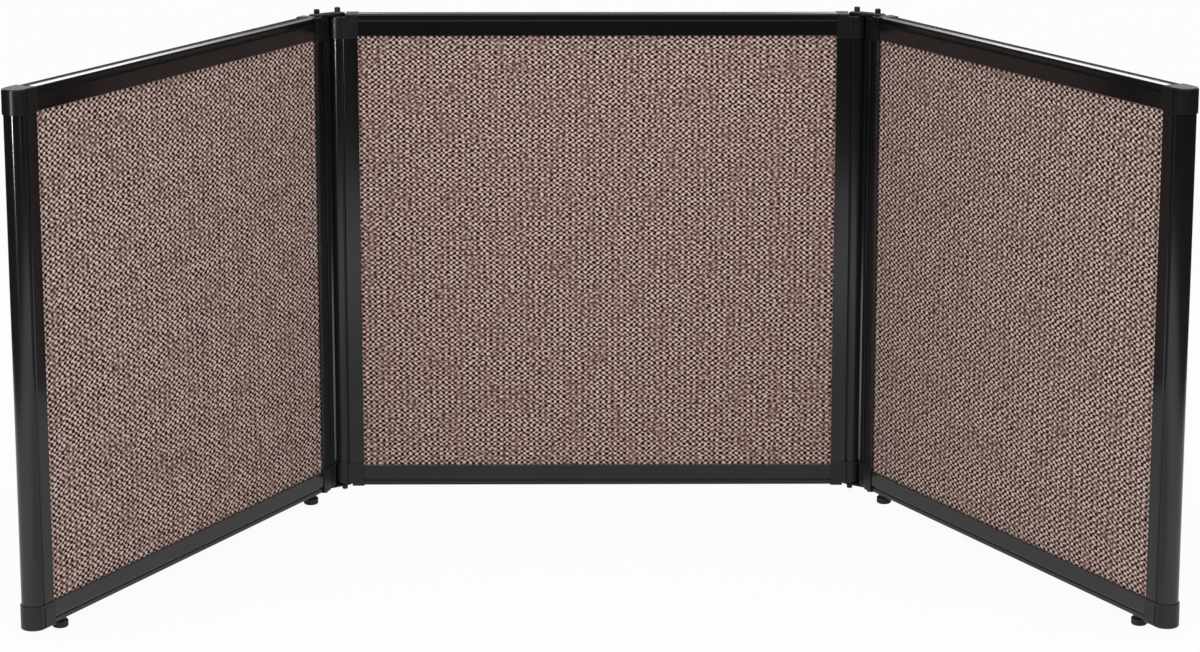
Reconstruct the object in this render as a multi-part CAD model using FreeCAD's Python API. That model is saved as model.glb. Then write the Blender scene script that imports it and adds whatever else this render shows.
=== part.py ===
import FreeCAD, Part
import math
import os

from collections import namedtuple
from FreeCAD import Vector

# Folding tabletop divider: three framed fabric panels joined by two double-pivot hinges.
# Millimetres and degrees. +X runs to the right along the middle panel, +Y to its back, +Z up.
# The origin lies on the table under the middle of the whole divider as it stands folded.

# Fabric opening of every panel
opening_width = 582.0
opening_height = 539.0

# Frame extrusion, shared by rails and posts
frame_thickness = 26.0
flange_width = 19.0
flange_wall = 2.4
web_wall = 2.0
neck_width = 1.6
neck_depth = 2.2
flange_edge_chamfer = 0.5
flange_shoulder_share = 0.9
bead_edge_chamfer = 0.3
chamber_wall = 2.0

# Crowned bead of the rails: how steeply the crown leaves its shoulders, and how much of it is rounded
bead_inset = 1.1
bead_height = 6.4
crown_pitch = 11.0
crown_blend = 0.8
shoulder_radius = 2.0
rail_chamber_depth = 4.0

# Round nose of the posts: how far its sides run straight before they turn
nose_inset = 0.2
end_nose_straight = 0.5
hinge_nose_straight = 4.4

# Corner caps
cap_proud = 1.2
cap_edge_chamfer = 1.2
cap_groove_depth = 1.4
cap_lip = 2.6
end_cap_drop = 0.4
end_cap_skirt = 0.5
hinge_cap_skirt = 3.0
spigot_length = 18.0
spigot_clearance = 0.15

# Infill
fabric_thickness = 1.2
infill_clearance = 0.3
infill_edge_clearance = 0.5

# Double-pivot hinges
hinge_gap = 1.6
link_thickness = 2.5
link_end_radius = 9.5
link_edge_chamfer = 0.4
link_swing_clearance = 1.0
washer_thickness = 0.5
washer_radius = 6.0
bush_wall = 1.2
bush_flange_radius = 5.0
bush_flange_thickness = 0.8
pin_radius = 2.5
pin_depth = 18.0
pin_head_radius = 3.5
pin_head_height = 5.6
pin_head_chamfer = 0.7
pin_socket_flats = 3.0
pin_socket_depth = 2.5
running_clearance = 0.05
seat_clearance = 0.05
axial_clearance = 0.15

# Feet under the wings
foot_height = 12.0
foot_radius = 9.0
foot_edge_chamfer = 1.4
foot_base_height = 7.5
foot_collar_radius = 7.0
foot_recess_radius = 4.8
foot_recess_depth = 3.4
foot_screw_radius = 2.0
foot_screw_head_radius = 4.0
foot_screw_head_height = 2.2
foot_screw_bite = 3.0
foot_inset_at_hinge = 10.0
foot_inset_at_end = 28.0

# How far the wings stand folded forward, and how much of it each link takes
fold_angle = 64.0
link_angle = 38.0

# Half thicknesses, measured from the mid-plane of a panel
flange_half = frame_thickness / 2
channel_half = flange_half - flange_wall
neck_half = flange_half - neck_depth
bead_half = flange_half - bead_inset
nose_half = flange_half - nose_inset
chamber_half = neck_half - chamber_wall
flange_shoulder_radius = flange_shoulder_share * neck_depth
cap_half = flange_half + cap_proud
infill_half = channel_half - infill_clearance
core_half = infill_half - fabric_thickness

# Distances outward from the edge of the fabric opening
seat_depth = flange_width - web_wall
bead_base = flange_width + neck_width
rail_width = bead_base + bead_height
rail_chamber_top = flange_width + rail_chamber_depth

# Crown of the rails: a ridge rounded off until it ends at the rail's width
crown_slope = math.radians(crown_pitch)
crown_radius = crown_blend * bead_half / math.sin(crown_slope)
crown_loss = crown_radius * (1 / math.cos(crown_slope) - 1)
crown_ridge = rail_width + crown_loss
crown_shoulder = crown_ridge - bead_half * math.tan(crown_slope)
crown_rise = rail_width - crown_shoulder

# Noses of the posts and reach of the infill, also outward from the opening
end_nose_centre = bead_base + end_nose_straight
hinge_nose_centre = bead_base + hinge_nose_straight
infill_reach = seat_depth - infill_edge_clearance

# Hinge stack, from the cap's face to the pin's head
hinge_cap_drop = axial_clearance + washer_thickness + link_thickness
bush_bore = pin_radius + running_clearance
bush_radius = bush_bore + bush_wall
link_bore = bush_radius + seat_clearance
hinge_spacing = 2 * cap_half + hinge_gap
cap_shoulder_width = hinge_nose_centre - link_end_radius - link_swing_clearance

# Heights
opening_low = foot_height + rail_width
opening_high = opening_low + opening_height
half_width = opening_width / 2
half_height = opening_height / 2
opening_middle = opening_low + half_height

# Plan: the divider is centred front to back between the middle panel's back and the wings' ends
pin_x = half_width + hinge_nose_centre
wing_reach = hinge_nose_centre + opening_width + end_nose_centre
fold = math.radians(fold_angle)
link_turn = math.radians(link_angle)
wing_pin_x = pin_x + hinge_spacing * math.cos(link_turn)
wing_pin_step = hinge_spacing * math.sin(link_turn)
front_reach = wing_pin_step + wing_reach * math.sin(fold) + cap_half
middle_y = (front_reach - cap_half) / 2

ACROSS = Vector(0, 1, 0)
UP = Vector(0, 0, 1)
CUT_PAST = 1.0
TINY = 1e-6
DISC_SIDES = 24
RING_SIDES = 12
SOCKET_SIDES = 6

# What stands at an end of a panel: a hinge side, which carries pins, or a free end
PanelEnd = namedtuple("PanelEnd", "nose_centre cap_skirt cap_drop pinned")
hinge_side = PanelEnd(hinge_nose_centre, hinge_cap_skirt, hinge_cap_drop, True)
free_end = PanelEnd(end_nose_centre, end_cap_skirt, end_cap_drop, False)

nodes = {}


def rounded_outline(corners, place):
    """Closed wire through corners given as (across, out, radius), each rounded by its own radius."""
    edges = []
    count = len(corners)
    points = [Vector(across, out, 0) for across, out, radius in corners]
    trims = []
    for index in range(count):
        here = points[index]
        back = (points[index - 1] - here).normalize()
        ahead = (points[(index + 1) % count] - here).normalize()
        radius = corners[index][2]
        half_angle = back.getAngle(ahead) / 2
        trim = radius / math.tan(half_angle)
        towards_centre = (back + ahead).normalize()
        crest = here + towards_centre * (radius / math.sin(half_angle) - radius)
        trims.append((here + back * trim, crest, here + ahead * trim))
    for index in range(count):
        start, crest, end = [place(point.x, point.y) for point in trims[index]]
        following = trims[(index + 1) % count][0]
        following = place(following.x, following.y)
        if corners[index][2] > 0:
            edges.append(Part.Arc(start, crest, end).toShape())
        if end.distanceToPoint(following) > TINY:
            edges.append(Part.LineSegment(end, following).toShape())
    return Part.Wire(edges)


def prism(corners, origin, outward, run):
    """Solid with an outline drawn from origin, across along Y and out along outward, carried along run."""
    wire = rounded_outline(corners, lambda across, out: origin + ACROSS * across + outward * out)
    return Part.Face(wire).extrude(run)


def drum(radius, low, high, x, sides):
    """Upright prism of many equal sides, with its corners on the radius about the place x."""
    corners = []
    for index in range(sides + 1):
        turn = 2 * math.pi * (index % sides) / sides
        corners.append(Vector(x + radius * math.cos(turn), radius * math.sin(turn), low))
    return Part.Face(Part.makePolygon(corners)).extrude(UP * (high - low))


def corner_radius(radius, sides):
    """Radius to the corners of a many-sided hole whose flats touch the given radius."""
    return radius / math.cos(math.pi / sides)


def drum_bore(radius, low, high, x, sides):
    """Cutter for a hole of many equal sides whose flats touch the radius, run past both ends."""
    return drum(corner_radius(radius, sides), low - CUT_PAST, high + CUT_PAST, x, sides)


def mirrored(half_corners):
    """Outline symmetrical about the mid-plane, from the corners of its +Y half."""
    return half_corners + [(-across, out, radius) for across, out, radius in reversed(half_corners)]


def bar(half, low, high):
    """Rectangular outline."""
    return mirrored([(half, low, 0), (half, high, 0)])


def bullet(half, base, centre):
    """Outline with a flat base and a half-round tip about centre."""
    return mirrored([(half, base, 0), (half, centre + half, half)])


def extrusion(tip_half, tip):
    """Outline of the frame extrusion: flanges, web and neck, then a tip of the given half thickness."""
    side = [
        (channel_half, 0, 0),
        (flange_half - flange_edge_chamfer, 0, 0),
        (flange_half, flange_edge_chamfer, 0),
        (flange_half, flange_width, flange_shoulder_radius),
        (neck_half, flange_width, 0),
        (neck_half, bead_base, 0),
        (tip_half - bead_edge_chamfer, bead_base, 0),
        (tip_half, bead_base + bead_edge_chamfer, 0),
    ]
    other_side = [(-across, out, radius) for across, out, radius in reversed(side)]
    seat = [(-channel_half, seat_depth, 0), (channel_half, seat_depth, 0)]
    return side + tip + other_side + seat


def rail_outline():
    crown = [
        (bead_half, crown_shoulder, shoulder_radius),
        (0, crown_ridge, crown_radius),
        (-bead_half, crown_shoulder, shoulder_radius),
    ]
    return extrusion(bead_half, crown)


def post_outline(nose_centre):
    nose_tip = nose_centre + nose_half
    return extrusion(nose_half, mirrored([(nose_half, nose_tip, nose_half)]))


def opening_edge(up):
    return opening_high if up > 0 else opening_low


def make_rail(up):
    origin = Vector(-half_width, 0, opening_edge(up))
    run = Vector(opening_width, 0, 0)
    body = prism(rail_outline(), origin, UP * up, run)
    chamber = prism(bar(chamber_half, flange_width, rail_chamber_top), origin, UP * up, run)
    return body.cut(chamber)


def make_post(side, end):
    origin = Vector(side * half_width, 0, opening_low + end.cap_skirt)
    outward = Vector(side, 0, 0)
    run = UP * (opening_height - 2 * end.cap_skirt)
    body = prism(post_outline(end.nose_centre), origin, outward, run)
    chamber = prism(bar(chamber_half, flange_width, end.nose_centre + spigot_clearance), origin, outward, run)
    return body.cut(chamber)


def cap_shoulder(side, up):
    """Raised part of a hinge cap beside the rail; the link plate swings in the step it leaves."""
    low = rail_width - hinge_cap_drop - 2 * cap_edge_chamfer
    high = rail_width - end_cap_drop
    outline = mirrored(
        [
            (cap_half, low, 0),
            (cap_half, high - cap_edge_chamfer, 0),
            (cap_half - cap_edge_chamfer, high, 0),
        ]
    )
    outward = Vector(side, 0, 0)
    return prism(outline, outward * half_width + UP * opening_edge(up), UP * up, outward * cap_shoulder_width)


def make_cap(side, up, end):
    """Corner cap: a rounded block with a pocket for the infill's corner and two spigots."""
    edge = opening_edge(up)
    outward = Vector(side, 0, 0)
    origin = Vector(side * half_width, 0, edge - up * end.cap_skirt)
    height = end.cap_skirt + rail_width - end.cap_drop
    body = prism(bullet(cap_half, 0, end.nose_centre), origin, outward, UP * up * height)
    face_height = edge + up * (rail_width - end.cap_drop)
    rim = []
    for line in body.Edges:
        middle = line.CenterOfMass
        on_face = abs(middle.z - face_height) < TINY
        on_inner_side = abs(middle.x - side * half_width) < TINY
        if on_face and not on_inner_side:
            rim.append(line)
    body = body.makeChamfer(cap_edge_chamfer, rim)
    if end.pinned:
        body = body.fuse(cap_shoulder(side, up))

    for face in (1, -1):
        groove = prism(
            [
                (face * (cap_half - cap_groove_depth), flange_width, 0),
                (face * (cap_half - cap_groove_depth), bead_base, 0),
                (face * (cap_half + CUT_PAST), bead_base, 0),
                (face * (cap_half + CUT_PAST), flange_width, 0),
            ],
            origin + UP * up * cap_lip,
            outward,
            UP * up * height,
        )
        body = body.cut(groove)

    pocket = prism(
        bar(channel_half, -CUT_PAST, seat_depth),
        origin - UP * up * CUT_PAST,
        outward,
        UP * up * (CUT_PAST + end.cap_skirt + seat_depth),
    )
    body = body.cut(pocket)

    spigot_half = chamber_half - spigot_clearance
    post_spigot = prism(
        bar(spigot_half, flange_width + spigot_clearance, end.nose_centre),
        origin,
        outward,
        UP * -up * spigot_length,
    )
    rail_spigot = prism(
        bar(spigot_half, flange_width + spigot_clearance, rail_chamber_top - spigot_clearance),
        Vector(side * half_width, 0, edge),
        UP * up,
        outward * -spigot_length,
    )
    body = body.fuse([post_spigot, rail_spigot]).removeSplitter()

    if end.pinned:
        pin_place = side * (half_width + end.nose_centre)
        ends = sorted((face_height - up * pin_depth, face_height + up * CUT_PAST))
        bore_radius = corner_radius(pin_radius + seat_clearance, RING_SIDES)
        bore = drum(bore_radius, ends[0], ends[1], pin_place, RING_SIDES)
        body = body.cut(bore)
    return body


def make_slab(near_y, far_y):
    """Flat rectangular sheet that fills the opening and reaches into the frame's channels."""
    size_x = opening_width + 2 * infill_reach
    size_z = opening_height + 2 * infill_reach
    corner = Vector(-size_x / 2, near_y, opening_middle - size_z / 2)
    return Part.makeBox(size_x, far_y - near_y, size_z, corner)


def make_pin(x, y, up):
    """Shoulder pin with a round socket head, standing in a hinge cap's bore."""
    foot_of_pin = rail_width - hinge_cap_drop - pin_depth
    head_base = rail_width + bush_flange_thickness + axial_clearance
    head_top = head_base + pin_head_height
    shank = Part.makeCylinder(pin_radius, head_base - foot_of_pin, UP * foot_of_pin)
    head = drum(pin_head_radius, head_base, head_top, 0, DISC_SIDES)
    rim = [line for line in head.Edges if abs(line.CenterOfMass.z - head_top) < TINY]
    head = head.makeChamfer(pin_head_chamfer, rim)
    socket = drum(pin_socket_flats / math.sqrt(3), head_top - pin_socket_depth, head_top, 0, SOCKET_SIDES)
    return stacked(shank.fuse(head).cut(socket), x, y, up)


def stacked(shape, x, y, up):
    """A hinge piece drawn outward from height zero, set on the top or the bottom edge of the opening."""
    if up < 0:
        shape.rotate(Vector(0, 0, 0), Vector(1, 0, 0), 180)
    shape.translate(Vector(x, y, opening_edge(up)))
    return shape


def make_link(side, up):
    """Link plate with round ends and a bore about each pin, along +X or -X from the middle panel's pin."""
    base = rail_width - link_thickness
    far_pin = side * hinge_spacing
    corner = Vector(min(0, far_pin), -link_end_radius, base)
    plate = Part.makeBox(hinge_spacing, 2 * link_end_radius, link_thickness, corner)
    for pin in (0, far_pin):
        plate = plate.fuse(drum(link_end_radius, base, rail_width, pin, DISC_SIDES))
    plate = plate.removeSplitter()
    rim = [line for line in plate.Edges if abs(line.CenterOfMass.z - rail_width) < TINY]
    plate = plate.makeChamfer(link_edge_chamfer, rim)
    for pin in (0, far_pin):
        plate = plate.cut(drum_bore(link_bore, base, rail_width, pin, RING_SIDES))
    return stacked(plate, 0, 0, up)


def make_bush(x, up):
    """Flanged bush in a link's bore, round inside where the pin turns."""
    plate_base = rail_width - link_thickness
    flange_top = rail_width + bush_flange_thickness
    sleeve = drum(bush_radius, plate_base, rail_width, 0, RING_SIDES)
    flange = drum(bush_flange_radius, rail_width, flange_top, 0, DISC_SIDES)
    length = flange_top - plate_base + 2 * CUT_PAST
    bore = Part.makeCylinder(bush_bore, length, UP * (plate_base - CUT_PAST))
    return stacked(sleeve.fuse(flange).cut(bore), x, 0, up)


def make_washer(x, up):
    high = rail_width - link_thickness
    low = high - washer_thickness
    washer = drum(washer_radius, low, high, 0, RING_SIDES)
    return stacked(washer.cut(drum_bore(bush_bore, low, high, 0, RING_SIDES)), x, 0, up)


def make_foot(x):
    """Round foot with a screw recess below and a saddle above that sits on the rail's crown."""
    collar_top = foot_height + crown_rise
    foot = drum(foot_radius, 0, foot_base_height, x, DISC_SIDES)
    tread = [line for line in foot.Edges if abs(line.CenterOfMass.z) < TINY]
    foot = foot.makeChamfer(foot_edge_chamfer, tread)
    foot = foot.fuse(drum(foot_collar_radius, foot_base_height, collar_top, x, DISC_SIDES))
    foot = foot.cut(drum_bore(foot_recess_radius, 0, foot_recess_depth - CUT_PAST, x, RING_SIDES))
    foot = foot.cut(drum_bore(foot_screw_radius + running_clearance, 0, collar_top, x, RING_SIDES))
    rail = prism(rail_outline(), Vector(-half_width, 0, opening_low), -UP, Vector(opening_width, 0, 0))
    return foot.cut(rail)


def make_foot_screw(x):
    """Screw up through a foot, with its head in the foot's recess."""
    crown_wall = rail_width - rail_chamber_top
    tip = foot_height + crown_wall + foot_screw_bite
    head_low = foot_recess_depth - foot_screw_head_height
    head = drum(foot_screw_head_radius, head_low, foot_recess_depth, x, RING_SIDES)
    shank = drum(foot_screw_radius, foot_recess_depth, tip, x, RING_SIDES)
    return head.fuse(shank)


def drilled_for_feet(shape, foot_places):
    """Bottom rail or cap with a screw hole above each foot."""
    crown_wall = rail_width - rail_chamber_top
    for x in foot_places:
        hole_top = foot_height + crown_wall + foot_screw_bite + seat_clearance - CUT_PAST
        hole = drum_bore(foot_screw_radius + seat_clearance, foot_height, hole_top, x, RING_SIDES)
        shape = shape.cut(hole)
    return shape


def make_panel(left, right, left_name, right_name):
    """Frame, caps and infill of one panel about the middle of its own opening."""
    pieces = {
        "top_rail": make_rail(1),
        "bottom_rail": make_rail(-1),
        "core": make_slab(-core_half, core_half),
        "front_fabric": make_slab(-infill_half, -core_half),
        "back_fabric": make_slab(core_half, infill_half),
    }
    for side, end, end_name in ((-1, left, left_name), (1, right, right_name)):
        pieces[end_name + "_post"] = make_post(side, end)
        for up, level in ((1, "top"), (-1, "bottom")):
            pieces[level + "_" + end_name + "_cap"] = make_cap(side, up, end)
    return pieces


def set_in_plan(shape, turn, x, y):
    """Turn a piece about the vertical through its own origin, then set that origin at a place in plan."""
    shape.rotate(Vector(0, 0, 0), UP, turn)
    shape.translate(Vector(x, y, 0))
    return shape


def add_middle():
    for name, shape in make_panel(hinge_side, hinge_side, "left", "right").items():
        nodes["middle_" + name] = set_in_plan(shape, 0, 0, middle_y)


def add_wing(side, side_name):
    """A wing is drawn flat about its own opening, then hung on its pins and folded forward."""
    pin = -side * pin_x
    foot_at_hinge = -side * (half_width - foot_inset_at_hinge)
    foot_at_end = side * (half_width - foot_inset_at_end)
    if side > 0:
        pieces = make_panel(hinge_side, free_end, "hinge", "end")
    else:
        pieces = make_panel(free_end, hinge_side, "end", "hinge")
    foot_places = (foot_at_hinge, foot_at_end)
    for name in ("bottom_rail", "bottom_hinge_cap", "bottom_end_cap"):
        pieces[name] = drilled_for_feet(pieces[name], foot_places)
    pieces["hinge_foot"] = make_foot(foot_at_hinge)
    pieces["end_foot"] = make_foot(foot_at_end)
    pieces["foot_screws"] = Part.Compound([make_foot_screw(x) for x in foot_places])
    pieces["hinge_pins"] = Part.Compound([make_pin(pin, 0, up) for up in (1, -1)])
    for name, shape in pieces.items():
        shape.translate(Vector(-pin, 0, 0))
        placed = set_in_plan(shape, -side * fold_angle, side * wing_pin_x, middle_y - wing_pin_step)
        nodes[side_name + "_wing_" + name] = placed


def add_hinge(side, side_name):
    """Link plates with their bushes and washers, and the pins that stand in the middle panel's caps."""
    ends = (0, side * hinge_spacing)
    both = (1, -1)
    pieces = {
        "top_link": make_link(side, 1),
        "bottom_link": make_link(side, -1),
        "bushes": Part.Compound([make_bush(x, up) for x in ends for up in both]),
        "washers": Part.Compound([make_washer(x, up) for x in ends for up in both]),
    }
    for name, shape in pieces.items():
        nodes[side_name + "_hinge_" + name] = set_in_plan(shape, -side * link_angle, side * pin_x, middle_y)
    pins = Part.Compound([make_pin(side * pin_x, middle_y, up) for up in both])
    nodes["middle_" + side_name + "_hinge_pins"] = pins


add_middle()
for side, side_name in ((-1, "left"), (1, "right")):
    add_wing(side, side_name)
    add_hinge(side, side_name)

os.makedirs("parts", exist_ok=True)
for name, shape in nodes.items():
    shape.exportStep("parts/" + name + ".step")
    print(name, len(shape.Solids), round(shape.Volume, 1), shape.isValid())
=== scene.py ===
# %% [markdown]
# # A folding tabletop divider
# Three framed panels stand on a table like a small stage: the middle one faces us and the two
# wings fold forward on double-pivot hinges. The frame, the caps and the hinges come from the CAD
# model and keep their shapes. Blender adds what the CAD model can't show: the woven cloth, the
# finishes and the light.

# %% Load the CAD frame
import math

import bpy
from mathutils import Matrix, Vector


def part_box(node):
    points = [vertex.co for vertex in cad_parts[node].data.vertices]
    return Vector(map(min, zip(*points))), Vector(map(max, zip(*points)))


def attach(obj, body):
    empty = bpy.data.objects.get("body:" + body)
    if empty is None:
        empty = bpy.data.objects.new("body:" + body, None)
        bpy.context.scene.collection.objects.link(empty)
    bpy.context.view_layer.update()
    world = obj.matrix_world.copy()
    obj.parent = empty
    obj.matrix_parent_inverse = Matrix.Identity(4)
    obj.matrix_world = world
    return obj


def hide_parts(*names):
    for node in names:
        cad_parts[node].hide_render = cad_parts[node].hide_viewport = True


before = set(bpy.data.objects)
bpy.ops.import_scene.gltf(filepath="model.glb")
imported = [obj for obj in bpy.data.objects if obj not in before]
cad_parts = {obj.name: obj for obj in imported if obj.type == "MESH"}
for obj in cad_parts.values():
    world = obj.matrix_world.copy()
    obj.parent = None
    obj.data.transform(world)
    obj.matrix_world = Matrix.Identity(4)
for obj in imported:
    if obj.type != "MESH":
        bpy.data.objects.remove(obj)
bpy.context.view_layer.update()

bpy.ops.object.select_all(action="DESELECT")

# %% [markdown]
# Every panel is a flat thing turned about the vertical, so a piece for it can be made once, lying
# flat, and then turned and set down. The direction of a panel is read from two CAD nodes that lie
# along it, which is safer than typing the angle again.

# %% Where the panels stand
PANELS = {
    "middle": ("middle_panel", "middle_left_hinge_pins", "middle_right_hinge_pins"),
    "left_wing": ("left_wing", "left_wing_core", "left_wing_hinge_pins"),
    "right_wing": ("right_wing", "right_wing_hinge_pins", "right_wing_core"),
}


def middle_of(node):
    low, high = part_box(node)
    return (Vector(low) + Vector(high)) / 2


turns = {}
for panel, (body, left_node, right_node) in PANELS.items():
    along = middle_of(right_node) - middle_of(left_node)
    turns[panel] = math.atan2(along.y, along.x)
    print(panel, "turned by", round(math.degrees(turns[panel]), 2), "degrees")

# %% [markdown]
# The camera comes before the looks, because every surface is judged from there. The real picture
# was taken from far away with a long lens, a little above the divider and looking slightly down,
# so the wings look only a little taller than the middle. A slight downward shift of the lens takes
# a little off the lean of the uprights.

# %% Camera
CAMERA_BACK = 4.1518
CAMERA_ASIDE = -0.0245
CAMERA_HEIGHT = 1.1685
CAMERA_TILT = math.radians(12.351)
CAMERA_YAW = math.radians(-0.383)
CAMERA_LENS = 103.04
CAMERA_SENSOR = 36
CAMERA_SHIFT = -0.03

middle_y = middle_of("middle_core").y
bpy.ops.object.camera_add(
    location=(CAMERA_ASIDE, middle_y - CAMERA_BACK, CAMERA_HEIGHT),
    rotation=(math.pi / 2 - CAMERA_TILT, 0, CAMERA_YAW),
)
camera = bpy.context.object
camera.data.lens = CAMERA_LENS
camera.data.sensor_width = CAMERA_SENSOR
camera.data.shift_y = CAMERA_SHIFT
bpy.context.scene.camera = camera
print("camera at", [round(value, 3) for value in camera.location])

# %% [markdown]
# Materials are built from nodes. A few small helpers keep that readable. One adds a node and fills
# its sockets, either with a value or with a link from another node. Others add the nodes that come
# up most often, and one starts a shader node group with named sockets.

# %% Helpers for node trees
def add_node(tree, kind, inputs=None, **settings):
    made = tree.nodes.new(kind)
    for name, value in settings.items():
        setattr(made, name, value)
    for name, value in (inputs or {}).items():
        if isinstance(value, bpy.types.NodeSocket):
            tree.links.new(value, made.inputs[name])
        else:
            made.inputs[name].default_value = value
    return made


def math_node(tree, operation, first, second=0.0, third=0.0):
    made = add_node(tree, "ShaderNodeMath", {0: first, 1: second, 2: third}, operation=operation)
    return made.outputs[0]


def map_range(tree, value, start, end=(0.0, 1.0), smooth=False):
    """Moves a value from the range start to the range end, and holds it at the ends."""
    made = add_node(
        tree,
        "ShaderNodeMapRange",
        {
            "Value": value,
            "From Min": start[0],
            "From Max": start[1],
            "To Min": end[0],
            "To Max": end[1],
        },
        interpolation_type="SMOOTHSTEP" if smooth else "LINEAR",
    )
    return made.outputs["Result"]


def noise_node(tree, vector, scale, detail):
    return add_node(
        tree, "ShaderNodeTexNoise", {"Vector": vector, "Scale": scale, "Detail": detail}
    )


def mix_colour(tree, amount, first, second):
    # A Mix node has hidden sockets for numbers and vectors too: 6 and 7 are its two colours in.
    inputs = {"Factor": amount, 6: first, 7: second}
    return add_node(tree, "ShaderNodeMix", inputs, data_type="RGBA").outputs[2]


def start_group(name, inputs, outputs):
    group = bpy.data.node_groups.new(name, "ShaderNodeTree")
    for label, kind, value in inputs:
        socket = group.interface.new_socket(label, in_out="INPUT", socket_type=kind)
        socket.default_value = value
    for label, kind in outputs:
        group.interface.new_socket(label, in_out="OUTPUT", socket_type=kind)
    return group, group.nodes.new("NodeGroupInput"), group.nodes.new("NodeGroupOutput")


def start_material(name):
    material = bpy.data.materials.new(name)
    material.use_nodes = True
    return material, material.node_tree, material.node_tree.nodes["Principled BSDF"]


def linear(red, green, blue):
    """Colour picked on a screen, 0 to 255, as the linear colour that nodes use."""
    def one(value):
        share = value / 255
        if share <= 0.04045:
            return share / 12.92
        return ((share + 0.055) / 1.055) ** 2.4
    return (one(red), one(green), one(blue), 1.0)


print("helpers ready")

# %% [markdown]
# The hard pieces share four effects, so each is a node group. Grain gives an uneven tone and
# height, and can be stretched into the fine lines that a die leaves along an extrusion. It adds a
# fine noise to a broad one, because a single noise looks the same everywhere.

# %% Group: grain
FINE_DETAIL = 4.0
FINE_ROUGHNESS = 0.6
FINE_SHARE = 0.45
BROAD_SCALE = 0.06
BROAD_DETAIL = 3.0
BROAD_SHARE = 0.55

grain_group, group_in, group_out = start_group(
    "Grain",
    [
        ("Vector", "NodeSocketVector", (0, 0, 0)),
        ("Scale", "NodeSocketFloat", 400.0),
    ],
    [("Tone", "NodeSocketFloat"), ("Height", "NodeSocketFloat")],
)
where, scale = group_in.outputs["Vector"], group_in.outputs["Scale"]
fine = noise_node(grain_group, where, scale, FINE_DETAIL)
fine.inputs["Roughness"].default_value = FINE_ROUGHNESS
broad_scale = math_node(grain_group, "MULTIPLY", scale, BROAD_SCALE)
broad = noise_node(grain_group, where, broad_scale, BROAD_DETAIL)
tone = math_node(grain_group, "MULTIPLY", fine.outputs["Fac"], FINE_SHARE)
tone = math_node(grain_group, "MULTIPLY_ADD", broad.outputs["Fac"], BROAD_SHARE, tone)
grain_group.links.new(tone, group_out.inputs["Tone"])
grain_group.links.new(fine.outputs["Fac"], group_out.inputs["Height"])
print("made group", grain_group.name)

# %% [markdown]
# Worn edges finds the edges by comparing the true normal with a rounded one: where the two differ,
# an edge is near. A noise breaks the line up, because hands and tables don't rub an edge evenly.
# The paler colour along the edges is partly wear and partly a painted highlight.

# %% Group: worn edges and painted highlights
EDGE_SAMPLES = 4
EDGE_BEND = (0.01, 0.2)
BREAK_DETAIL = 3.0
BREAK_RANGE = (0.35, 0.65)

edge_wear_and_highlight_group, group_in, group_out = start_group(
    "Worn edges and painted highlights",
    [
        ("Vector", "NodeSocketVector", (0, 0, 0)),
        ("Width", "NodeSocketFloat", 0.0006),
        ("Breaks", "NodeSocketFloat", 120.0),
    ],
    [("Mask", "NodeSocketFloat")],
)
# Pale edge lines are partly wear and partly painted highlight.
rounded = add_node(
    edge_wear_and_highlight_group, "ShaderNodeBevel", {"Radius": group_in.outputs["Width"]}, samples=EDGE_SAMPLES
)
true_normal = add_node(edge_wear_and_highlight_group, "ShaderNodeNewGeometry")
facing = add_node(
    edge_wear_and_highlight_group,
    "ShaderNodeVectorMath",
    {0: rounded.outputs["Normal"], 1: true_normal.outputs["Normal"]},
    operation="DOT_PRODUCT",
)
bend = math_node(edge_wear_and_highlight_group, "SUBTRACT", 1.0, facing.outputs["Value"])
bend = map_range(edge_wear_and_highlight_group, bend, EDGE_BEND)
breaks = noise_node(
    edge_wear_and_highlight_group, group_in.outputs["Vector"], group_in.outputs["Breaks"], BREAK_DETAIL
)
breaks = map_range(edge_wear_and_highlight_group, breaks.outputs["Fac"], BREAK_RANGE)
mask = math_node(edge_wear_and_highlight_group, "MULTIPLY", bend, breaks)
edge_wear_and_highlight_group.links.new(mask, group_out.inputs["Mask"])
print("made group", edge_wear_and_highlight_group.name)

# %% [markdown]
# Dust is a thin, patchy grey haze that is strongest low down. It is partly dust and partly painted
# light, which makes the black coat greyer towards the bottom. The groove group finds narrow gaps
# by how much of the sky a point sees close by, and paints shade there: the coat is darkened almost
# to black and made dull where little light gets in.

# %% Group: dust and painted light
DUST_DETAIL = 5.0
DUST_SWING = 0.8
DUST_LEAST = 0.6

dust_and_light_group, group_in, group_out = start_group(
    "Dust and painted light",
    [
        ("Vector", "NodeSocketVector", (0, 0, 0)),
        ("Top", "NodeSocketFloat", 0.62),
        ("Patches", "NodeSocketFloat", 9.0),
    ],
    [("Mask", "NodeSocketFloat")],
)
# Partly dust, partly painted light: greyest at the foot, none at the top.
place = add_node(dust_and_light_group, "ShaderNodeSeparateXYZ", {"Vector": group_in.outputs["Vector"]})
height = math_node(dust_and_light_group, "DIVIDE", place.outputs["Z"], group_in.outputs["Top"])
low_down = map_range(dust_and_light_group, height, (0.0, 1.0), (1.0, 0.0))
patches = noise_node(
    dust_and_light_group, group_in.outputs["Vector"], group_in.outputs["Patches"], DUST_DETAIL
)
uneven = math_node(dust_and_light_group, "MULTIPLY_ADD", patches.outputs["Fac"], DUST_SWING, DUST_LEAST)
dust_and_light_mask = math_node(dust_and_light_group, "MULTIPLY", low_down, uneven)
dust_and_light_group.links.new(dust_and_light_mask, group_out.inputs["Mask"])
print("made group", dust_and_light_group.name)

# %% Group: painted groove shade
GROOVE_SAMPLES = 8
GROOVE_RANGE = (0.25, 0.7)

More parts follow.
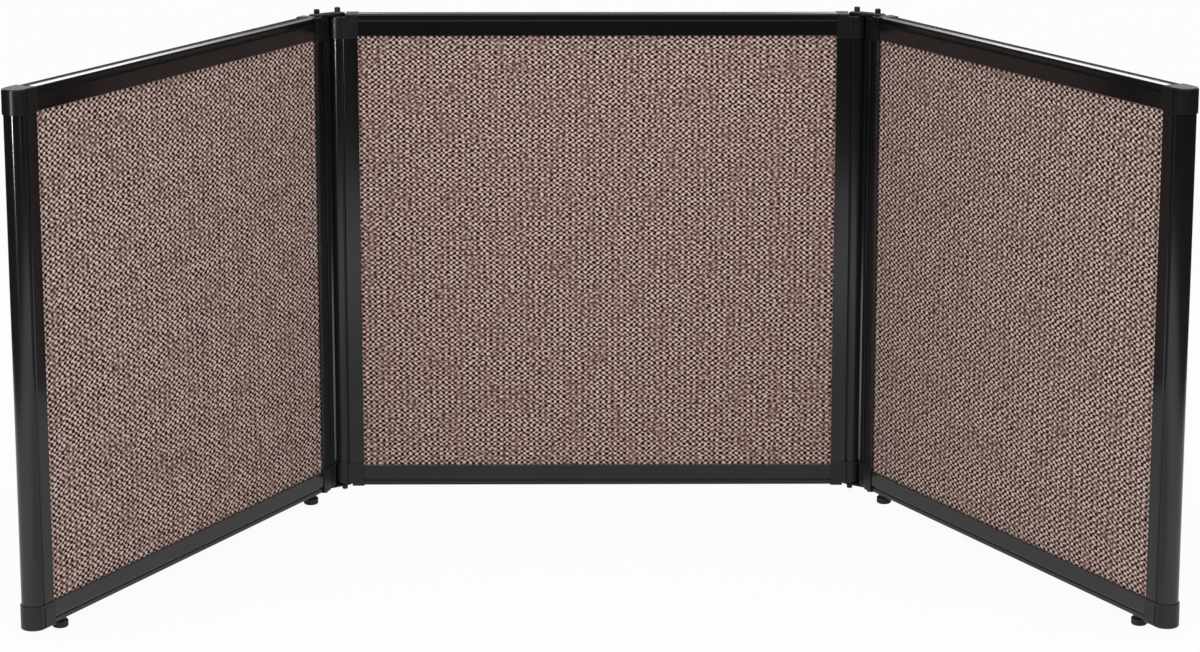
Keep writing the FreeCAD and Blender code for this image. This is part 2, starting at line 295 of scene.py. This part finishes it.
groove_shade_group, group_in, group_out = start_group(
    "Painted groove shade",
    [("Reach", "NodeSocketFloat", 0.006)],
    [("Mask", "NodeSocketFloat")],
)
open_share = add_node(
    groove_shade_group,
    "ShaderNodeAmbientOcclusion",
    {"Distance": group_in.outputs["Reach"]},
    samples=GROOVE_SAMPLES,
)
# Painted shade: the mask is full where little sky is seen close by.
groove_shade_mask = map_range(groove_shade_group, open_share.outputs["AO"], GROOVE_RANGE, (1.0, 0.0))
groove_shade_group.links.new(groove_shade_mask, group_out.inputs["Mask"])
print("made group", groove_shade_group.name)

# %% [markdown]
# One recipe gives all the hard finishes. What differs is how dark, how glossy, which way the grain
# runs and how deep it is. A rail's grain runs along the rail, so its pattern is turned with the
# panel and stretched a hundred times along its length.

# %% Recipe for a grained finish
# A pale grey that stands partly for dust and partly for painted light low down.
DUST_AND_LIGHT_COLOUR = linear(92, 92, 96)
# Near black: painted shade in narrow gaps.
GROOVE_SHADE_COLOUR = linear(3, 3, 3)
GROOVE_DULLNESS = 0.6
TONE_RANGE = (0.3, 0.7)


def grained_finish(
    name,
    dark,
    light,
    worn_and_highlight,
    gloss,
    grain,
    stretch=(1, 1, 1),
    turn=0.0,
    relief=0.00002,
    dust_and_light=0.1,
    mirror=0.3,
):
    """gloss is the lowest and highest roughness, grain the pattern's scale per metre."""
    material, tree, shader = start_material(name)
    where = add_node(tree, "ShaderNodeTexCoord").outputs["Object"]
    turned = add_node(
        tree,
        "ShaderNodeMapping",
        {"Vector": where, "Rotation": (0, 0, turn)},
        vector_type="TEXTURE",
    ).outputs["Vector"]
    drawn = add_node(tree, "ShaderNodeMapping", {"Vector": turned, "Scale": stretch})
    pattern = add_node(
        tree,
        "ShaderNodeGroup",
        {"Vector": drawn.outputs["Vector"], "Scale": grain},
        node_tree=grain_group,
    )
    edges = add_node(tree, "ShaderNodeGroup", {"Vector": where}, node_tree=edge_wear_and_highlight_group)
    dust_and_light_haze = add_node(tree, "ShaderNodeGroup", {"Vector": where}, node_tree=dust_and_light_group)
    groove_shade = add_node(tree, "ShaderNodeGroup", node_tree=groove_shade_group)
    dust_and_light_amount = math_node(tree, "MULTIPLY", dust_and_light_haze.outputs["Mask"], dust_and_light)
    colour = mix_colour(tree, pattern.outputs["Tone"], dark, light)
    # Partly dust, partly painted light: the coat turns greyer low down.
    colour = mix_colour(tree, dust_and_light_amount, colour, DUST_AND_LIGHT_COLOUR)
    # Partly wear, partly painted highlight: edges turn paler.
    colour = mix_colour(tree, edges.outputs["Mask"], colour, worn_and_highlight)
    # Painted shade: narrow gaps are darkened almost to black.
    colour = mix_colour(tree, groove_shade.outputs["Mask"], colour, GROOVE_SHADE_COLOUR)
    dullness = map_range(tree, pattern.outputs["Tone"], TONE_RANGE, gloss)
    dullness = math_node(
        tree, "MULTIPLY_ADD", groove_shade.outputs["Mask"], GROOVE_DULLNESS, dullness
    )
    bump = add_node(
        tree,
        "ShaderNodeBump",
        {"Height": pattern.outputs["Height"], "Distance": relief, "Strength": 1.0},
    )
    shader.inputs["Specular IOR Level"].default_value = mirror
    tree.links.new(colour, shader.inputs["Base Color"])
    tree.links.new(dullness, shader.inputs["Roughness"])
    tree.links.new(bump.outputs["Normal"], shader.inputs["Normal"])
    return material


print("recipe ready")

# %% [markdown]
# The extrusions have a smooth, glossy black coat over fine die lines. The moulded caps are a
# little greyer and more matt, with a fine spark texture. The link plates and pins are blackened
# steel, the feet soft rubber.

# %% Black finishes
ALONG_RAIL = (0.01, 1, 1)
ALONG_POST = (1, 1, 0.01)
frame_coat = dict(
    dark=linear(7, 7, 8),
    light=linear(19, 19, 21),
    # Pale edges: partly wear, partly painted highlight lines.
    worn_and_highlight=linear(66, 66, 70),
    gloss=(0.09, 0.16),
    grain=900.0,
    relief=0.000004,
    dust_and_light=0.12,
    mirror=0.5,
)
post_black = grained_finish("post_black", stretch=ALONG_POST, **frame_coat)
rail_blacks = {
    panel: grained_finish("rail_black_" + panel, stretch=ALONG_RAIL, turn=turn, **frame_coat)
    for panel, turn in turns.items()
}
cap_black = grained_finish(
    "cap_black",
    dark=linear(13, 13, 14),
    light=linear(26, 26, 28),
    worn_and_highlight=linear(62, 62, 65),
    gloss=(0.24, 0.36),
    grain=1500.0,
    relief=0.00004,
    dust_and_light=0.14,
)
link_black = grained_finish(
    "link_black",
    dark=linear(12, 12, 13),
    light=linear(28, 28, 30),
    worn_and_highlight=linear(60, 59, 58),
    gloss=(0.5, 0.62),
    grain=700.0,
    mirror=0.12,
)
foot_rubber = grained_finish(
    "foot_rubber",
    dark=linear(14, 14, 14),
    light=linear(30, 30, 30),
    worn_and_highlight=linear(52, 52, 52),
    gloss=(0.5, 0.66),
    grain=1200.0,
    relief=0.00006,
    dust_and_light=0.2,
)
pin_steel = grained_finish(
    "pin_steel",
    dark=linear(20, 20, 22),
    light=linear(44, 44, 46),
    worn_and_highlight=linear(120, 118, 114),
    gloss=(0.26, 0.38),
    grain=900.0,
)
blacks = [post_black, *rail_blacks.values(), cap_black, link_black, foot_rubber, pin_steel]
print("black finishes:", [finish.name for finish in blacks])

# %% [markdown]
# A few pieces aren't black: the zinc of the foot screws, the grey nylon of the bearings and the
# fibreboard behind the cloth. They hardly show, but a stranger who takes the part apart sees them.

# %% Other finishes
bearing_nylon = grained_finish(
    "bearing_nylon",
    dark=linear(120, 120, 116),
    light=linear(150, 150, 146),
    worn_and_highlight=linear(176, 176, 172),
    gloss=(0.42, 0.52),
    grain=600.0,
    dust_and_light=0.0,
)
core_board = grained_finish(
    "core_board",
    dark=linear(122, 96, 70),
    light=linear(160, 132, 100),
    worn_and_highlight=linear(176, 150, 118),
    gloss=(0.8, 0.92),
    grain=260.0,
    relief=0.0002,
    dust_and_light=0.0,
)
screw_zinc = grained_finish(
    "screw_zinc",
    dark=linear(150, 150, 148),
    light=linear(196, 196, 192),
    worn_and_highlight=linear(214, 214, 210),
    gloss=(0.26, 0.4),
    grain=900.0,
    dust_and_light=0.0,
)
screw_zinc.node_tree.nodes["Principled BSDF"].inputs["Metallic"].default_value = 1.0
print("other finishes made")

# %% [markdown]
# Each CAD node gets its finish by a word in its name. The order matters, because a foot screw is
# also a foot by name. What no word finds is a rail, or a CAD sheet that the cloth takes the place
# of.

# %% Finishes on the CAD nodes
FINISH_BY_WORD = [
    ("hinge_pins", pin_steel),
    ("foot_screws", screw_zinc),
    ("foot", foot_rubber),
    ("cap", cap_black),
    ("post", post_black),
    ("link", link_black),
    ("bushes", bearing_nylon),
    ("washers", bearing_nylon),
    ("core", core_board),
]


def finish_for(name):
    for word, material in FINISH_BY_WORD:
        if word in name:
            return material
    for panel, material in rail_blacks.items():
        if name.startswith(panel):
            return material


for name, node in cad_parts.items():
    node.data.materials.clear()
    node.data.materials.append(finish_for(name))
print("finished nodes:", len(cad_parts))

# %% [markdown]
# The cloth is a coarse panel weave: pale floats of yarn stand in rows, each row shifted by half a
# step, with a dark hollow between every two. A flat plane with a picture of a weave would look
# dead from the side, so the floats are modelled. A grid with one point for every float and every
# hollow is lifted and sunk like a chess board, then roughened a little and given a rim and a back.
# The cloth on the wings has a wider weave than the cloth in the middle, so each is modelled once.

# %% Two models of cloth
MIDDLE_FLOATS = (82, 94)
WING_FLOATS = (60, 88)
FLOAT_RISE = 0.0003
HOLLOW_DROP = -0.0003
YARN_UNEVEN = 0.0001
YARN_SEED = 7
SMOOTH_BELOW = math.radians(50)

cloth_low, cloth_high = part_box("middle_front_fabric")
cloth_width = cloth_high[0] - cloth_low[0]
cloth_thickness = cloth_high[1] - cloth_low[1]
cloth_height = cloth_high[2] - cloth_low[2]


def weave_sheet(name, floats):
    bpy.ops.object.select_all(action="DESELECT")
    steps_across, steps_up = 2 * floats[0], 2 * floats[1]
    bpy.ops.mesh.primitive_grid_add(
        x_subdivisions=steps_across, y_subdivisions=steps_up, size=1
    )
    sheet = bpy.context.object
    sheet.name = name
    bpy.ops.object.mode_set(mode="EDIT")
    bpy.ops.mesh.select_mode(type="VERT")
    bpy.ops.transform.resize(value=(cloth_width, cloth_height, 1))
    for odd, rise in ((0, FLOAT_RISE), (1, HOLLOW_DROP)):
        bpy.ops.mesh.select_all(action="DESELECT")
        bpy.ops.object.mode_set(mode="OBJECT")
        for point in sheet.data.vertices:
            column = round((point.co.x / cloth_width + 0.5) * steps_across)
            row = round((point.co.y / cloth_height + 0.5) * steps_up)
            point.select = (column + row) % 2 == odd
        bpy.ops.object.mode_set(mode="EDIT")
        bpy.ops.transform.translate(value=(0, 0, rise))
    bpy.ops.mesh.select_all(action="SELECT")
    bpy.ops.transform.vertex_random(offset=YARN_UNEVEN, uniform=0, normal=1, seed=YARN_SEED)
    bpy.ops.mesh.region_to_loop()
    bpy.ops.mesh.extrude_edges_move(TRANSFORM_OT_translate={"value": (0, 0, -cloth_thickness)})
    bpy.ops.transform.resize(value=(1, 1, 0))
    bpy.ops.mesh.edge_face_add()
    bpy.ops.mesh.select_all(action="SELECT")
    bpy.ops.mesh.normals_make_consistent(inside=False)
    bpy.ops.object.mode_set(mode="OBJECT")
    bpy.ops.object.shade_smooth_by_angle(angle=SMOOTH_BELOW)
    return sheet


middle_cloth = weave_sheet("middle_front_cloth", MIDDLE_FLOATS)
wing_cloth = weave_sheet("left_wing_front_cloth", WING_FLOATS)
print("cloth", round(cloth_width, 4), "x", round(cloth_height, 4))
print("points:", [len(cloth.data.vertices) for cloth in (middle_cloth, wing_cloth)])

# %% [markdown]
# The colour follows the same floats and hollows through the grid's own UV map, so relief and
# colour agree. Two cosine waves, across and up, give a pale float at every crossing and a dark
# hollow in between. Three noises keep it from looking printed: one lets the yarns wander, one
# makes upright streaks where the contrast fades, and one makes single yarns thicker or thinner.

# %% Cloth colours and weave
HOLLOW_COLOUR = linear(34, 8, 3)
YARN_COLOUR = linear(127, 100, 91)
FLOAT_COLOUR = linear(222, 201, 194)
MIDDLE_DEPTH = 0.76
WING_DEPTH = 0.95
MIDDLE_SHADE = 0.5
COLUMN_SHARE = 0.3
NOISE_MIDDLE = 0.5
WANDER_SCALE = 0.5
WANDER_DETAIL = 4.0
WANDER_REACH = 0.9
STREAK_LENGTH = 0.35
STREAK_SCALE = 0.42
STREAK_DETAIL = 3.0
STREAK_RANGE = (0.38, 0.62)
STREAK_CONTRAST = (0.5, 1.3)
SLUB_SCALE = 1.9
SLUB_DETAIL = 2.0
SLUB_SHARE = 1.9


def woven_shade(tree, floats, depth):
    """Shade over the sheet, from 0 in a hollow to 1 on a float."""
    surface = add_node(tree, "ShaderNodeTexCoord").outputs["UV"]
    counted = add_node(
        tree, "ShaderNodeMapping", {"Vector": surface, "Scale": (floats[0], floats[1], 1)}
    ).outputs["Vector"]
    wander = noise_node(tree, counted, WANDER_SCALE, WANDER_DETAIL)
    wander = add_node(
        tree,
        "ShaderNodeVectorMath",
        {0: wander.outputs["Color"], 1: (NOISE_MIDDLE, NOISE_MIDDLE, NOISE_MIDDLE)},
        operation="SUBTRACT",
    )
    moved = add_node(
        tree,
        "ShaderNodeVectorMath",
        {0: wander.outputs["Vector"], 1: (WANDER_REACH, WANDER_REACH, 0.0), 2: counted},
        operation="MULTIPLY_ADD",
    )
    counts = add_node(tree, "ShaderNodeSeparateXYZ", {"Vector": moved.outputs["Vector"]})
    waves = []
    for axis in ("X", "Y"):
        angle = math_node(tree, "MULTIPLY", counts.outputs[axis], 2 * math.pi)
        waves.append(math_node(tree, "COSINE", angle))
    lattice = math_node(tree, "MULTIPLY", waves[0], waves[1])
    lattice = math_node(tree, "MULTIPLY_ADD", waves[0], COLUMN_SHARE, lattice)
    drawn = add_node(
        tree,
        "ShaderNodeMapping",
        {"Vector": surface, "Scale": (floats[0], STREAK_LENGTH * floats[1], 1)},
    ).outputs["Vector"]
    streaks = noise_node(tree, drawn, STREAK_SCALE, STREAK_DETAIL)
    contrast = map_range(tree, streaks.outputs["Fac"], STREAK_RANGE, STREAK_CONTRAST)
    lattice = math_node(tree, "MULTIPLY", lattice, contrast)
    slubs = noise_node(tree, counted, SLUB_SCALE, SLUB_DETAIL)
    slubs = math_node(tree, "SUBTRACT", slubs.outputs["Fac"], NOISE_MIDDLE)
    shade = math_node(tree, "MULTIPLY_ADD", lattice, depth, MIDDLE_SHADE)
    return math_node(tree, "MULTIPLY_ADD", slubs, SLUB_SHARE, shade)


print("weave ready")

# %% Cloth finish
CLOTH_RELIEF = 0.0004
CLOTH_RELIEF_SHARE = 0.6
CLOTH_ROUGHNESS = 0.9
CLOTH_MIRROR = 0.08
CLOTH_SHEEN = 0.03
CLOTH_SHEEN_ROUGHNESS = 0.5


def woven_finish(name, floats, depth):
    woven, tree, shader = start_material(name)
    shade = woven_shade(tree, floats, depth)
    ramp = add_node(tree, "ShaderNodeValToRGB", {"Fac": shade})
    ramp.color_ramp.elements[0].color = HOLLOW_COLOUR
    ramp.color_ramp.elements[1].color = FLOAT_COLOUR
    ramp.color_ramp.elements.new(MIDDLE_SHADE).color = YARN_COLOUR
    bump = add_node(
        tree,
        "ShaderNodeBump",
        {"Height": shade, "Distance": CLOTH_RELIEF, "Strength": CLOTH_RELIEF_SHARE},
    )
    tree.links.new(ramp.outputs["Color"], shader.inputs["Base Color"])
    tree.links.new(bump.outputs["Normal"], shader.inputs["Normal"])
    shader.inputs["Roughness"].default_value = CLOTH_ROUGHNESS
    shader.inputs["Specular IOR Level"].default_value = CLOTH_MIRROR
    shader.inputs["Sheen Weight"].default_value = CLOTH_SHEEN
    shader.inputs["Sheen Roughness"].default_value = CLOTH_SHEEN_ROUGHNESS
    return woven


for cloth, name, floats, depth in (
    (middle_cloth, "woven_cloth_middle", MIDDLE_FLOATS, MIDDLE_DEPTH),
    (wing_cloth, "woven_cloth_wings", WING_FLOATS, WING_DEPTH),
):
    cloth.data.materials.append(woven_finish(name, floats, depth))
    print("finished", cloth.name, "with", name)

# %% [markdown]
# Every panel has a sheet on its front and one on its back. The two models are copied for the rest,
# each copy with a mesh of its own. A sheet is stood up, turned with its panel and set where the
# CAD sheet is, and its place is then applied to the mesh.

# %% Six sheets in place
def stand_sheet(piece, panel, face):
    node = panel + "_" + face + "_fabric"
    about = 0.0 if face == "front" else math.pi
    bpy.ops.object.select_all(action="DESELECT")
    piece.select_set(True)
    bpy.context.view_layer.objects.active = piece
    piece.rotation_euler = (math.pi / 2, 0, turns[panel] + about)
    piece.location = middle_of(node)
    bpy.ops.object.transform_apply(location=True, rotation=True, scale=True)
    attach(piece, PANELS[panel][0])
    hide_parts(node)


sheets = {("middle", "front"): middle_cloth, ("left_wing", "front"): wing_cloth}
for panel in PANELS:
    model = middle_cloth if panel == "middle" else wing_cloth
    for face in ("front", "back"):
        if (panel, face) in sheets:
            continue
        bpy.ops.object.select_all(action="DESELECT")
        model.select_set(True)
        bpy.context.view_layer.objects.active = model
        bpy.ops.object.duplicate(linked=False)
        sheets[panel, face] = bpy.context.object
        sheets[panel, face].name = panel + "_" + face + "_cloth"
for (panel, face), piece in sheets.items():
    stand_sheet(piece, panel, face)
print("sheets:", [piece.name for piece in sheets.values()])

# %% [markdown]
# The floor is a wide white sheet. Where the camera sees it, most of it glows at a strength of one,
# which is white, and the rest still takes the soft shadow under the feet. In reflections it is a
# studio sweep: dimmer close to the divider, brightest a step in front of it, and dark further
# away. That is what shades the black posts from top to bottom.

# %% Floor
FLOOR_SIZE = 80
FLOOR_LEVEL = -0.0005
PAPER_COLOUR = (0.9, 0.9, 0.9, 1)
PAPER_ROUGHNESS = 0.9
WHITE = (1, 1, 1, 1)
CAMERA_GLOW = 0.94
SWEEP_NEAR = 0.5
SWEEP_REST = 0.05
SWEEP_RISE = (0.4, 1.0)
SWEEP_FALL = (1.4, 1.9)
SWEEP_STRETCH = (1.0, 0.85, 1.0)

bpy.ops.object.select_all(action="DESELECT")
bpy.ops.mesh.primitive_plane_add(size=FLOOR_SIZE, location=(0, 0, FLOOR_LEVEL))
floor = bpy.context.object
floor.name = "floor"
paper, tree, shader = start_material("white_paper")
shader.inputs["Base Color"].default_value = PAPER_COLOUR
shader.inputs["Roughness"].default_value = PAPER_ROUGHNESS
shader.inputs["Specular IOR Level"].default_value = 0.0
rays = add_node(tree, "ShaderNodeLightPath").outputs
glow = add_node(tree, "ShaderNodeEmission", {"Color": WHITE, "Strength": 1.0})
seen = math_node(tree, "MULTIPLY", rays["Is Camera Ray"], CAMERA_GLOW)
blend = add_node(
    tree,
    "ShaderNodeMixShader",
    {0: seen, 1: shader.outputs["BSDF"], 2: glow.outputs["Emission"]},
)
where = add_node(tree, "ShaderNodeTexCoord").outputs["Object"]
where = add_node(
    tree, "ShaderNodeVectorMath", {0: where, 1: SWEEP_STRETCH}, operation="MULTIPLY"
).outputs["Vector"]
away = add_node(tree, "ShaderNodeVectorMath", {0: where}, operation="LENGTH").outputs["Value"]
rise = map_range(tree, away, SWEEP_RISE, (SWEEP_NEAR, 1.0), smooth=True)
fall = map_range(tree, away, SWEEP_FALL, (1.0, SWEEP_REST), smooth=True)
sweep = math_node(tree, "MULTIPLY", rise, fall)
sheen = add_node(tree, "ShaderNodeEmission", {"Color": WHITE, "Strength": sweep})
mirrored = math_node(tree, "MAXIMUM", rays["Is Glossy Ray"], rays["Is Transmission Ray"])
blend = add_node(
    tree,
    "ShaderNodeMixShader",
    {0: mirrored, 1: blend.outputs["Shader"], 2: sheen.outputs["Emission"]},
)
tree.links.new(blend.outputs["Shader"], tree.nodes["Material Output"].inputs["Surface"])
floor.data.materials.append(paper)
print("floor ready")

# %% [markdown]
# Glossy black shows what surrounds it more than its own colour, so the surround is planned like a
# small studio. The room is dim. A low bright band behind the divider draws the pale line along the
# top rails, weaker in the middle, and a light overhead brightens what faces straight up. Matt
# surfaces get an even soft fill instead, and the camera sees plain white.

# %% Surround
ROOM = 0.08
SOFT_ROOM = 0.6
TOP_LIGHT = 1.5
ABOVE = (0.8, 0.9)
BACK_SCREEN = 4.0
BEHIND = (0.6, 0.8)
BAND_LOW = 0.235
BAND_HIGH = 0.36
BAND_SOFT = 0.02
SCREEN_MIDDLE = 0.24
OFF_CENTRE = (0.045, 0.09)

world = bpy.context.scene.world or bpy.data.worlds.new("surround")
bpy.context.scene.world = world
world.use_nodes = True
tree = world.node_tree
heading = add_node(tree, "ShaderNodeTexCoord").outputs["Generated"]
heading = add_node(tree, "ShaderNodeSeparateXYZ", {"Vector": heading}).outputs
behind = map_range(tree, heading["Y"], BEHIND, smooth=True)
band = add_node(tree, "ShaderNodeValToRGB", {"Fac": heading["Z"]})
stops = band.color_ramp.elements
stops[0].color = stops[1].color = (0, 0, 0, 1)
for place, level in (
    (BAND_LOW, 0.0),
    (BAND_LOW + BAND_SOFT, 1.0),
    (BAND_HIGH - BAND_SOFT, 1.0),
    (BAND_HIGH, 0.0),
):
    stops.new(place).color = (level, level, level, 1)
aside = math_node(tree, "ABSOLUTE", heading["X"])
sides = map_range(tree, aside, OFF_CENTRE, (SCREEN_MIDDLE, 1.0), smooth=True)
screen = math_node(tree, "MULTIPLY", behind, band.outputs["Color"])
screen = math_node(tree, "MULTIPLY", screen, sides)
above = map_range(tree, heading["Z"], ABOVE, (ROOM, TOP_LIGHT), smooth=True)
strength = math_node(tree, "MULTIPLY_ADD", screen, BACK_SCREEN, above)
rays = add_node(tree, "ShaderNodeLightPath").outputs
sharp = math_node(tree, "SUBTRACT", 1.0, rays["Is Diffuse Ray"])
strength = math_node(tree, "MULTIPLY", strength, sharp)
strength = math_node(tree, "MULTIPLY_ADD", rays["Is Diffuse Ray"], SOFT_ROOM, strength)
backdrop = math_node(tree, "MAXIMUM", rays["Is Camera Ray"], rays["Is Transmission Ray"])
unseen = math_node(tree, "SUBTRACT", 1.0, backdrop)
strength = math_node(tree, "MULTIPLY_ADD", strength, unseen, backdrop)
tree.links.new(strength, tree.nodes["Background"].inputs["Strength"])
tree.nodes["Background"].inputs["Color"].default_value = WHITE
print("surround ready")

# %% [markdown]
# One broad lamp above lights the cloth and the floor. Two narrow strips, low on each side, aren't
# there for light: they only show as thin bright lines on the round posts.

# %% Lamps
LAMPS = {
    # name: place, aim, width and height, spread in degrees, power
    "overhead": ((0.0, -2.2, 2.4), (-0.1, 0.0, 0.35), (2.6, 1.2), 180.0, 40.0),
    "left_strip": ((-1.42, -2.12, 0.34), (-0.6, -0.25, 0.43), (0.1, 0.26), 50.0, 0.95),
    "right_strip": ((1.42, -2.12, 0.24), (-0.57, 0.25, 0.35), (0.12, 0.34), 30.0, 0.035),
}
for name, (place, aim, size, spread, power) in LAMPS.items():
    bpy.ops.object.light_add(type="AREA", location=place)
    lamp = bpy.context.object
    lamp.name = name
    lamp.data.shape = "RECTANGLE"
    lamp.data.size, lamp.data.size_y = size
    lamp.data.spread = math.radians(spread)
    lamp.data.energy = power
    lamp.visible_camera = False
    lamp.visible_glossy = name != "overhead"
    lamp.visible_diffuse = name == "overhead"
    lamp.rotation_euler = (Vector(aim) - lamp.location).to_track_quat("-Z", "Y").to_euler()
bpy.context.scene.view_settings.view_transform = "Standard"
print("lamps:", list(LAMPS))

# %% [markdown]
# Last, a line says that the scene is built.

# %% End
print("scene built")
